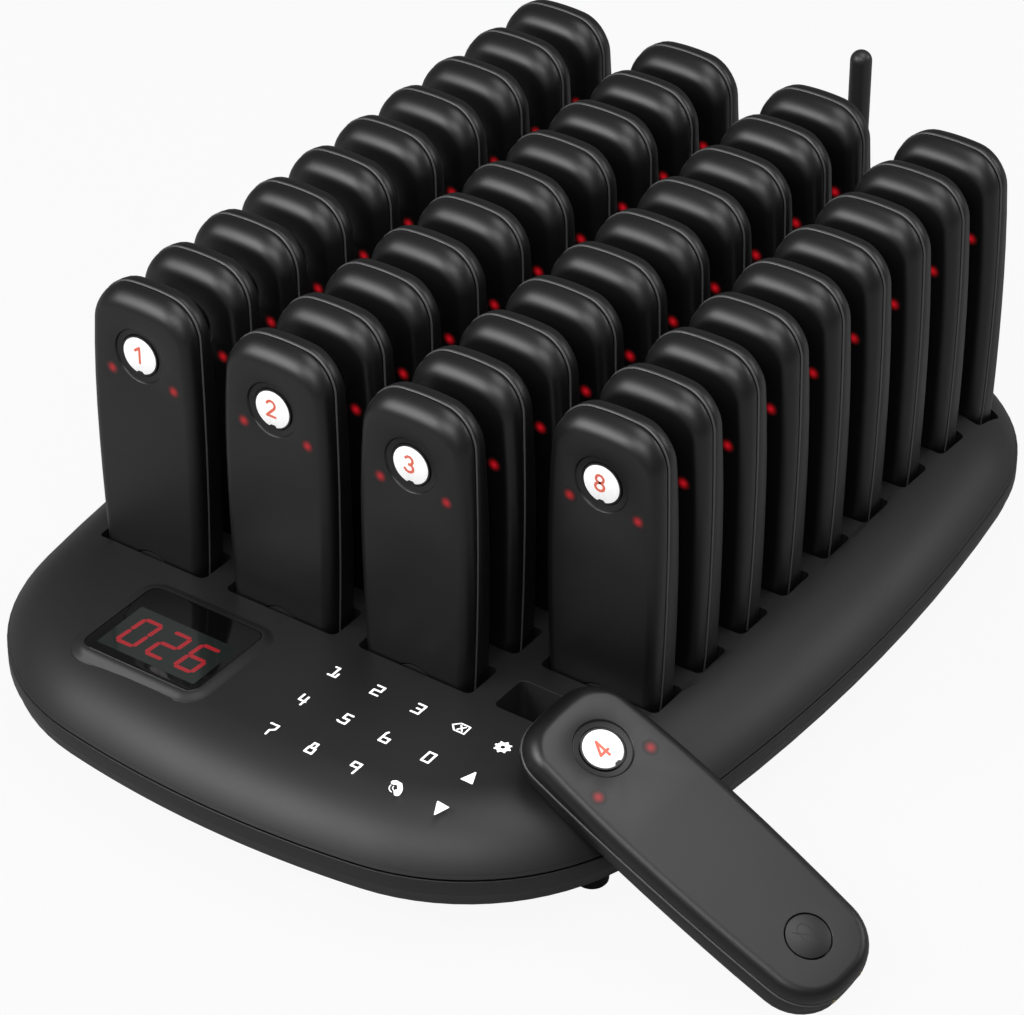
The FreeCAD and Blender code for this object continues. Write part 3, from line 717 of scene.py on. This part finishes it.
# Seven strokes of a display digit: middle x, middle y, and whether it stands upright
strokes = {
    "top": (0, 1, False), "middle": (0, 0, False), "bottom": (0, -1, False),
    "high_left": (-0.5, 0.5, True), "high_right": (0.5, 0.5, True),
    "low_left": (-0.5, -0.5, True), "low_right": (0.5, -0.5, True),
}
lit_strokes = {
    "0": ("top", "bottom", "high_left", "high_right", "low_left", "low_right"),
    "2": ("top", "middle", "bottom", "high_right", "low_left"),
    "6": ("top", "middle", "bottom", "high_left", "low_left", "low_right"),
}


def stroke(bm, start, end, radius, height):
    """A flat stroke with round ends between two points."""
    gap = Vector(end) - Vector(start)
    half = gap.length / 2
    made = bmesh.ops.create_circle(bm, cap_ends=True, radius=radius, segments=16)["verts"]
    for vert in made:
        vert.co.x += half if vert.co.x > 0 else -half
    turn = Matrix.Rotation(math.atan2(gap.y, gap.x), 3, "Z")
    bmesh.ops.rotate(bm, cent=(0, 0, 0), matrix=turn, verts=made)
    middle = (Vector(start) + Vector(end)) / 2
    bmesh.ops.translate(bm, vec=(middle.x, middle.y, height), verts=made)
    return made


def draw_path(bm, points, radius, height, closed=False):
    """Strokes from point to point, each a hair above the last."""
    ends = points[1:] + points[:1] if closed else points[1:]
    for number, (start, end) in enumerate(zip(points, ends)):
        stroke(bm, start, end, radius, height + 0.002 * number)


def bow(centre, reach_x, reach_y, start, end, steps=6):
    """Points along part of an ellipse, in degrees."""
    turns = [math.radians(start + (end - start) * step / steps) for step in range(steps + 1)]
    return [(centre[0] + reach_x * math.cos(turn), centre[1] + reach_y * math.sin(turn))
            for turn in turns]


def face_up(bm):
    for face in bm.faces:
        if face.normal.z < 0:
            face.normal_flip()


def make_digits():
    bm = bmesh.new()
    digit_width, digit_half_height, slant = 7.6, 7.65, 0.07
    digit_places, digits_y = (-62.3, -48.9, -35.8), -40.55
    stroke_radius, stroke_gap = 0.95, 0.15
    top = deck_z + platform_height + mark_lift
    for character, x in zip("026", digit_places):
        for name in lit_strokes[character]:
            stroke_x, stroke_y, upright = strokes[name]
            half = (digit_half_height if upright else digit_width) / 2 - stroke_radius - stroke_gap
            middle_x = x + stroke_x * digit_width
            middle_y = stroke_y * digit_half_height
            reach = (0, half) if upright else (half, 0)
            made = stroke(bm, (middle_x - reach[0], middle_y - reach[1]),
                          (middle_x + reach[0], middle_y + reach[1]), stroke_radius, top)
            for vert in made:
                vert.co.x += slant * vert.co.y
                vert.co.y += digits_y
    face_up(bm)
    return add_piece("window_digits", make_mesh(bm, "window_digits"), base_place,
                     "charging_base", [finish["digit_red"]])


# Touch keys: strokes through these points, in millimetres from the base's middle and row 1
key_strokes = [
    [(6.9, -14.8), (8.5, -14.8), (8.5, -19.8)],
    [(6.9, -19.8), (10.1, -19.8), (10.1, -17.7)],
    [(25.4, -14.8), (28.5, -14.8), (28.5, -17.4), (25.6, -17.4), (25.6, -19.9), (28.7, -19.9)],
    [(43.5, -15.0), (46.6, -15.0), (46.6, -20.0), (43.5, -20.0)],
    [(44.4, -17.5), (46.4, -17.5)],
    [(7.3, -33.9), (7.3, -37.2), (10.1, -37.2)],
    [(9.6, -34.5), (9.6, -39.4)],
    [(29.0, -34.2), (26.5, -34.2), (26.5, -36.7), (29.0, -36.7), (29.0, -39.3), (26.5, -39.3),
     (25.6, -38.9)],
    [(44.5, -34.3), (44.1, -35.0), (44.1, -39.7), (47.2, -39.7), (47.2, -37.3), (44.4, -37.3)],
    [(7.8, -53.5), (11.1, -53.5), (11.1, -55.8), (9.6, -57.0), (9.8, -59.4)],
    [(47.7, -56.4), (44.7, -56.4), (44.7, -54.0), (47.7, -54.0), (47.7, -59.7)],
]
key_loops = [
    [(27.0, -53.8), (28.6, -53.8), (28.8, -56.5), (27.0, -56.5)],
    [(26.6, -56.5), (29.4, -56.5), (29.6, -59.3), (26.7, -59.3)],
    [(62.6, -34.9), (65.5, -34.9), (65.6, -40.1), (62.7, -40.1)],
]
key_stroke_radius = 0.46
cross_stroke_radius = 0.34
arrow_stroke_radius = 0.3


def make_key_marks():
    """The white marks of the touch keys, flush with the deck."""
    bm = bmesh.new()
    height = deck_z + mark_lift
    for points in key_strokes:
        draw_path(bm, points, key_stroke_radius, height)
    for points in key_loops:
        draw_path(bm, points, key_stroke_radius, height, closed=True)
    draw_path(bm, [(60.1, -17.8), (62.2, -15.6), (66.2, -15.7), (66.4, -20.0), (62.1, -20.0)],
              cross_stroke_radius, height, closed=True)
    draw_path(bm, [(62.9, -16.6), (64.9, -19.1)], cross_stroke_radius, height + 0.004)
    draw_path(bm, [(64.9, -16.6), (62.9, -19.1)], cross_stroke_radius, height + 0.008)
    for points in ([(82.2, -35.1), (80.2, -40.6), (84.7, -40.7)],
                   [(80.8, -55.2), (85.6, -55.7), (84.0, -61.4)]):
        draw_path(bm, points, arrow_stroke_radius, height, closed=True)
        corners = [bm.verts.new((x, y, height + 0.01)) for x, y in points]
        bmesh.ops.contextual_create(bm, geom=corners)
    make_gear_mark(bm, (81.75, -18.2), height)
    make_phone_mark(bm, height)
    face_up(bm)
    return add_piece("key_marks", make_mesh(bm, "key_marks"), base_place, "charging_base",
                     [finish["legend_white_painted_glow"]])


def make_gear_mark(bm, centre, height):
    """A ring with eight round teeth."""
    teeth, tooth_start, tooth_end, tooth_radius, ring_middle_radius = 8, 2.2, 2.75, 0.52, 1.72
    for number in range(teeth):
        turn = math.radians(360 / teeth * number)
        out = Vector((math.cos(turn), math.sin(turn)))
        near = Vector(centre) + out * tooth_start
        far = Vector(centre) + out * tooth_end
        stroke(bm, near, far, tooth_radius, height + 0.002 * number)
    rim = bmesh.ops.create_circle(bm, radius=ring_middle_radius, segments=48)["verts"]
    edges = {edge for vert in rim for edge in vert.link_edges}
    ring = bmesh.ops.extrude_edge_only(bm, edges=list(edges))["geom"]
    inner = [part for part in ring if isinstance(part, bmesh.types.BMVert)]
    bmesh.ops.scale(bm, vec=(0.5, 0.5, 1), verts=inner)
    bmesh.ops.scale(bm, vec=(1.5, 1.5, 1), verts=rim)
    bmesh.ops.translate(bm, vec=(*centre, height + 0.02), verts=inner + rim)


def make_phone_mark(bm, height):
    """A handset and the waves beside it."""
    handset = [(62.8, -55.0), (64.6, -55.2), (65.7, -56.4), (66.7, -57.9), (67.1, -59.3)]
    draw_path(bm, handset, 0.95, height)
    draw_path(bm, [(62.5, -55.5), (63.1, -55.2)], 1.15, height + 0.012)
    draw_path(bm, [(66.2, -58.9), (67.0, -59.9)], 1.15, height + 0.014)
    for number, reach in enumerate((1.7, 2.9)):
        wave = bow((65.3, -57.3), reach, reach, 178, 262, 5)
        draw_path(bm, wave, 0.2, height + 0.02 * number)


# The pagers


pager_arcs = outline(pager_half_width, pager_widest_at, pager_side_radius,
                     0, pager_low_radius, pager_low_corner,
                     pager_length, pager_high_radius, pager_high_corner, (8, 9, 8))

# How the badge end differs from a plain slab: where each change starts, and how far it goes
seam_bend_start = 50
seam_bend = 3.2
narrow_start = 84
narrow_share = 0.062
rear_narrow_start = 30
rear_narrow_share = 0.09
rounding_start = 116
rounding_run = 17
front_rounding = 2.4
front_rounding_depth = 5.0
rear_rounding = 1.5
end_rounding = 0.9


def share_past(along, start):
    """0 up to the start, then rising to 1 at the badge end."""
    return max(0, (along - start) / (pager_length - start))


def soften_high_end(bm):
    """Toward the badge end the seam bends back, the sides close in and the front rounds off."""
    for vert in bm.verts:
        along = vert.co.y
        depth = -vert.co.z
        up = min(1, max(0, (along - rounding_start) / rounding_run))
        bend = seam_bend * share_past(along, seam_bend_start) ** 3
        narrow = narrow_share * share_past(along, narrow_start) ** 2
        seam = -seam_high
        if depth < seam:
            depth += bend * depth / seam
            vert.co.y -= front_rounding * up * max(0, 1 + vert.co.z / front_rounding_depth) ** 1.4
        else:
            back = (depth - seam) / (pager_thickness - seam)
            depth += bend * (1 - back)
            narrow += rear_narrow_share * share_past(along, rear_narrow_start) * back ** 2
            vert.co.y -= rear_rounding * up * back ** 2
        vert.co.z = -depth
        vert.co.y -= end_rounding * up
        vert.co.x *= 1 - narrow


def make_case_shape():
    """Both case halves with the seam between them, the dish and the button's well."""
    bm = bmesh.new()
    rounding = draw_arc(bm, bm.verts.new((-4.95, 0, 0)), (-4.95, 0, -4.6), (0, 1, 0), 90, 9)
    lip = draw_lines(bm, rounding, (-0.35, 0, -5.2), (-0.5, 0, -5.4), (-1.1, 0, -5.45),
                     (-1.1, 0, -5.75), (-0.45, 0, seam_low))
    lip = draw_arc(bm, lip, (-0.45, 0, -6.25), (0, 1, 0), 90, 4)
    side = draw_lines(bm, lip, (-0.04, 0, -6.6), (-0.7, 0, -6.7), (-0.7, 0, -6.95),
                      (-0.25, 0, -7.05), (-0.12, 0, -7.4), (-0.12, 0, -9.8), (-0.12, 0, -12.2))
    draw_arc(bm, side, (-4.72, 0, -12.2), (0, 1, 0), 90, 7)
    carry_round(bm, pager_arcs)
    bmesh.ops.contextual_create(bm, geom=open_edges_at(bm, -pager_thickness))
    # The seam's rounded lip takes the lighter grey finish, a painted highlight.
    for face in bm.faces:
        if all(seam_high < vert.co.z < seam_low + 0.02 for vert in face.verts):
            face.material_index = 3
    soften_high_end(bm)
    for height, radius in ((badge_height, dish_radius), (mute_height, mute_well_radius)):
        made = bmesh.ops.create_circle(bm, radius=radius, segments=48)["verts"]
        bmesh.ops.translate(bm, vec=(0, height, 0), verts=made)
    front_loops = [edge for edge in bm.edges if len(edge.link_faces) < 2
                   and all(abs(vert.co.z) < 0.01 for vert in edge.verts)]
    bmesh.ops.triangle_fill(bm, use_beauty=True, use_dissolve=False, edges=front_loops,
                            normal=(0, 0, 1))
    dish = turned_piece([(dish_radius, 0), (11.05, -0.06), (10.85, -0.3), (10.6, -0.75),
                         (10.3, -0.88), (8.7, -dish_depth), (8.45, -1.0), (8.4, -1.8), (0, -1.8)])
    bmesh.ops.translate(dish, vec=(0, badge_height, 0), verts=dish.verts)
    add_copy(bm, dish)
    well = turned_piece([(mute_well_radius, 0), (8.6, -0.12), (8.6, -mute_well_depth),
                         (0, -mute_well_depth)])
    bmesh.ops.translate(well, vec=(0, mute_height, 0), verts=well.verts)
    add_copy(bm, well)
    merge(bm, 0.004)
    face_outward(bm)
    return bm


def make_lamp_shape(shift_x, shift_y):
    """Two flat discs where the lamps glow through the face, with a map from each middle."""
    bm = bmesh.new()
    for side in (-1, 1):
        made = bmesh.ops.create_circle(bm, cap_ends=True, cap_tris=True, radius=lamp_reach,
                                       segments=32)["verts"]
        bmesh.ops.translate(bm, vec=(side * lamp_half_spacing, lamp_height, 0.02), verts=made)
    lamp_map = bm.loops.layers.uv.new("lamp")
    for face in bm.faces:
        if face.normal.z < 0:
            face.normal_flip()
        side = 1 if face.calc_center_median().x > 0 else -1
        for loop in face.loops:
            across = loop.vert.co.x - side * lamp_half_spacing
            upward = loop.vert.co.y - lamp_height
            loop[lamp_map].uv = (across / lamp_reach, upward / lamp_reach)
    bmesh.ops.translate(bm, vec=(shift_x, shift_y, 0), verts=bm.verts)
    return bm


def make_button_shape():
    """The button's cap with its bell mark, which shows as dark lines."""
    rim = mute_radius
    bm = turned_piece([(0, -1.9), (rim, -1.9), (rim, -0.22), (rim - 0.08, -0.07), (rim - 0.25, 0),
                       (0, 0)])
    mark = bmesh.new()
    draw_path(mark, [(-3.3, 4.7), (4.6, -4.6)], 0.17, 0.008)
    bell = ([(-2.9, -2.7), (-2.1, -0.6), (-2.0, 1.9)] + bow((0.4, 2.3), 2.4, 2.6, 175, 5, 8)
            + [(2.8, 1.9), (2.9, -0.6), (3.9, -2.7)])
    draw_path(mark, bell, 0.15, 0.008)
    draw_path(mark, bow((0.4, -3.1), 1.4, 1.3, 190, 350, 5), 0.15, 0.008)
    face_up(mark)
    add_copy(bm, mark, 1)
    mark.free()
    bmesh.ops.translate(bm, vec=(0, mute_height, 0), verts=bm.verts)
    return bm


# Strokes of the badge digits: 3.6 wide and 6.3 high, from the middle of their foot
digit_paths = {
    "0": [bow((0, 4.5), 1.8, 1.8, 0, 180) + bow((0, 1.8), 1.8, 1.8, 180, 360) + [(1.8, 4.5)]],
    "1": [[(-1.3, 4.7), (0.7, 6.3), (0.7, 0)]],
    "2": [bow((0, 4.5), 1.8, 1.8, 160, -35) + [(-1.8, 0), (1.9, 0)]],
    "3": [bow((0, 4.65), 1.65, 1.65, 150, -85) + bow((0, 1.6), 1.85, 1.6, 85, -160, 8)],
    "4": [[(0.8, 0), (0.8, 6.3), (-1.9, 1.7), (1.9, 1.7)]],
    "5": [[(1.6, 6.3), (-1.4, 6.3), (-1.6, 3.5)] + bow((0, 2.1), 1.85, 2.1, 120, -150, 8)],
    "6": [bow((0, 2.0), 1.8, 2.0, 0, 360, 12), [(1.3, 6.3), (-0.6, 4.6), (-1.8, 2.0)]],
    "7": [[(-1.8, 6.3), (1.8, 6.3), (-0.6, 0)]],
    "8": [bow((0, 4.75), 1.55, 1.55, -90, 270, 12), bow((0, 1.6), 1.85, 1.6, 90, 450, 12)],
    "9": [bow((0, 4.3), 1.8, 2.0, 0, 360, 12), [(-1.3, 0), (0.6, 1.7), (1.8, 4.3)]],
}


def make_badge_shape(number):
    """A turned boss that carries a white disc with the pager's number."""
    bm = turned_piece([(0, -1.6), (8.1, -1.6), (8.1, -0.64), (8.0, -0.5), (7.8, -0.45),
                       (7.62, -0.5), (7.55, -0.64), (0, -0.64)], 56)
    disc = turned_piece([(0, -0.62), (7.35, -0.62), (7.35, -0.5), (7.28, -0.46), (0, -0.46)], 56)
    for vert in disc.verts:
        if vert.co.y < -6.9 and abs(vert.co.x) < 0.9:
            vert.co.y += 0.9
    add_copy(bm, disc, 1)
    disc.free()
    text = str(number)
    size = 1.0 if len(text) == 1 else 0.85
    digit_pitch, digit_middle, digit_radius, digit_depth = 4.9, 3.15, 0.55, 0.445
    marks = bmesh.new()
    for place, character in enumerate(text):
        shift = (place - (len(text) - 1) / 2) * digit_pitch * size - 0.7
        for points in digit_paths[character]:
            moved = [(shift + size * x, size * (y - digit_middle) + 0.2) for x, y in points]
            draw_path(marks, moved, digit_radius * size, -digit_depth)
    face_up(marks)
    add_copy(bm, marks, 2)
    marks.free()
    bmesh.ops.translate(bm, vec=(0, badge_height, 0), verts=bm.verts)
    return bm


def standing_place(column, row):
    across = Matrix.Translation((column_x(column) * mm, row * row_pitch * mm, pager_base_z * mm))
    return base_place @ across @ FRONT


def leaning_place():
    """The leaning pager's turn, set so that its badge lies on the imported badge."""
    heading, lean, roll = 179.05, 25.8, -10.97
    turn = (Matrix.Rotation(math.radians(heading - 90), 4, "Z")
            @ Matrix.Rotation(math.radians(lean - 90), 4, "X")
            @ Matrix.Rotation(math.radians(roll), 4, "Z") @ FRONT)
    low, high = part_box("pager_04_number_badge")
    middle = Vector((0, (badge_height - badge_low_step) * mm, -badge_middle_depth * mm))
    return Matrix.Translation((low + high) / 2 - turn @ middle) @ turn


def make_pagers():
    case = make_case_shape()
    button = make_button_shape()
    lone_case = case.copy()
    for shape, shift in ((case, (1.3, 0)), (lone_case, (-1.3, -1.8))):
        lamps = make_lamp_shape(*shift)
        add_copy(shape, lamps, 1)
        lamps.free()
    plain_button = make_button_shape()
    for face in plain_button.faces:
        face.material_index *= 2
    add_copy(case, plain_button)
    plain_button.free()
    case_mesh = make_mesh(case, "pager_case", 32)
    lone_mesh = make_mesh(lone_case, "pager_case", 32)
    button_mesh = make_mesh(button, "pager_button", 32)
    shell_finish = [finish["pager_plastic"], finish["lamp_glow"], finish["pager_symbol"],
                    finish["seam_lip_painted_highlight"]]
    badge_finish = [finish["pager_plastic"], finish["badge_white"], finish["number_red"]]
    for row in range(rows):
        for column in range(columns):
            number = row * columns + column + 1
            name = f"pager_{number:02d}"
            badge = make_mesh(make_badge_shape(number), name + "_badge")
            if number == leaning_number:
                place = leaning_place()
                body = "leaning_pager"
                add_piece(name + "_case", lone_mesh, place, body, shell_finish,
                          [name + "_front_shell", name + "_rear_shell"])
                add_piece(name + "_button", button_mesh, place, "leaning_pager_button",
                          [finish["pager_plastic"], finish["pager_symbol"]],
                          [name + "_mute_button"])
                add_piece(name + "_badge", badge, place, body, badge_finish,
                          [name + "_number_badge"])
            else:
                place = standing_place(column, row)
                body = "docked_" + name
                add_piece(name + "_case", case_mesh.copy(), place, body,
                          shell_finish, [name])
                add_piece(name + "_badge", badge, place, body, badge_finish)


def make_antenna_rod():
    """A round rod with a domed tip, on the tongue that its hinge holds."""
    low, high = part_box("antenna_whip")
    middle = (low + high) / 2 / mm
    tip = high.z / mm
    shoulder = antenna_shoulder_z
    rod = turned_piece([(0, shoulder), (4.0, shoulder), (antenna_radius, shoulder + 0.5)]
                       + bow((0, tip - antenna_radius), antenna_radius, antenna_radius, 0, 90, 8),
                       40)
    half = tongue_thickness / 2
    tongue = rod_shape(tongue_radius, (0, -half, 0), tongue_thickness, "Y")
    blade = box_shape((-tongue_half_width, -half, 0), (tongue_half_width, half, tongue_reach))
    for shape in (tongue, blade):
        bmesh.ops.rotate(shape, cent=(0, 0, 0), matrix=Matrix.Rotation(math.radians(90), 3, "Z"),
                         verts=shape.verts)
        bmesh.ops.translate(shape, vec=(0, 0, connector_z), verts=shape.verts)
        add_copy(rod, shape)
        shape.free()
    place = Matrix.Translation((middle.x * mm, middle.y * mm, 0))
    return add_piece("antenna_rod", make_mesh(rod, "antenna_rod"), place, "antenna_rod",
                     [finish["antenna_plastic"]], ["antenna_whip"])


def dress_packed_nodes():
    """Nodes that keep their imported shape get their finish."""
    slots = {part["node"]: part["material_slot"] for part in frame["record"]["subparts"]}
    for name, node in frame["nodes"].items():
        if node.hide_render:
            continue
        node.data.materials.clear()
        node.data.materials.append(finish[slots[name]])


make_top_shell()
make_bottom_shell()
make_feet()
make_window()
make_digits()
make_key_marks()
make_pagers()
make_antenna_rod()
dress_packed_nodes()


# Floor, light and camera


def make_floor():
    bm = bmesh.new()
    bmesh.ops.create_grid(bm, x_segments=1, y_segments=1, size=3)
    mesh = bpy.data.meshes.new("floor")
    bm.to_mesh(mesh)
    bm.free()
    floor = bpy.data.objects.new("floor", mesh)
    bpy.context.scene.collection.objects.link(floor)
    floor.location.z = -0.2 * mm
    material = bpy.data.materials.new("floor_white")
    material.use_nodes = True
    tree = material.node_tree
    shader = tree.nodes["Principled BSDF"]
    shader.inputs["Base Color"].default_value = (0.35, 0.35, 0.35, 1)
    shader.inputs["Roughness"].default_value = 0.8
    white = add_node(tree, "ShaderNodeEmission")
    white.inputs["Color"].default_value = (1, 1, 1, 1)
    ray = add_node(tree, "ShaderNodeLightPath")
    white_share = 0.93
    share = add_node(tree, "ShaderNodeMath", operation="MULTIPLY")
    share.inputs[1].default_value = white_share
    mixed = add_node(tree, "ShaderNodeMixShader")
    tree.links.new(ray.outputs["Is Camera Ray"], share.inputs[0])
    tree.links.new(share.outputs[0], mixed.inputs["Fac"])
    tree.links.new(shader.outputs[0], mixed.inputs[1])
    tree.links.new(white.outputs[0], mixed.inputs[2])
    tree.links.new(mixed.outputs[0], tree.nodes["Material Output"].inputs["Surface"])
    mesh.materials.append(material)


def make_world():
    world = bpy.data.worlds.new("studio")
    world.use_nodes = True
    tree = world.node_tree
    around = tree.nodes["Background"]
    around.inputs["Color"].default_value = (1, 1, 1, 1)
    around.inputs["Strength"].default_value = 0.15
    white = add_node(tree, "ShaderNodeBackground")
    white.inputs["Color"].default_value = (1, 1, 1, 1)
    ray = add_node(tree, "ShaderNodeLightPath")
    mixed = add_node(tree, "ShaderNodeMixShader")
    tree.links.new(ray.outputs["Is Camera Ray"], mixed.inputs["Fac"])
    tree.links.new(around.outputs[0], mixed.inputs[1])
    tree.links.new(white.outputs[0], mixed.inputs[2])
    tree.links.new(mixed.outputs[0], tree.nodes["World Output"].inputs["Surface"])
    bpy.context.scene.world = world


def make_softbox(name, place, aim, width, height, power):
    light = bpy.data.lights.new(name, "AREA")
    light.shape = "RECTANGLE"
    light.size = width
    light.size_y = height
    light.energy = power
    lamp = bpy.data.objects.new(name, light)
    bpy.context.scene.collection.objects.link(lamp)
    lamp.location = place
    lamp.rotation_euler = (Vector(aim) - Vector(place)).to_track_quat("-Z", "Y").to_euler()


def make_camera():
    """The camera that the photograph was fitted with, placed from the first row's face."""
    place = (0.73327, -0.93515, 0.9398)
    azimuth, elevation, roll = (math.radians(turn) for turn in (35.26, 35.04, -0.11))
    camera = bpy.data.cameras.new("camera")
    camera.lens = 145.37
    camera.sensor_width = 36
    camera.shift_x = 0.0019
    camera.shift_y = -0.0009
    camera.clip_start = 0.05
    camera.clip_end = 20
    seen = bpy.data.objects.new("camera", camera)
    bpy.context.scene.collection.objects.link(seen)
    seen.matrix_world = (base_place @ Matrix.Translation(place)
                         @ Matrix.Rotation(azimuth, 4, "Z")
                         @ Matrix.Rotation(math.pi / 2 - elevation, 4, "X")
                         @ Matrix.Rotation(roll, 4, "Z"))
    bpy.context.scene.camera = seen


make_floor()
make_world()
make_softbox("front_left", (-0.8, -1.15, 1.1), (0, -0.05, 0.05), 1.0, 0.7, 20)
make_softbox("front_right", (0.45, -1.0, 1.35), (0, 0, 0.08), 1.1, 0.55, 11)
make_softbox("above", (0.35, 0.25, 1.7), (0, 0, 0), 1.1, 1.1, 13)
make_softbox("back_right", (1.1, 1.2, 0.9), (0.05, 0, 0.05), 0.8, 0.6, 6)
make_camera()
bpy.context.scene.view_settings.view_transform = "Standard"
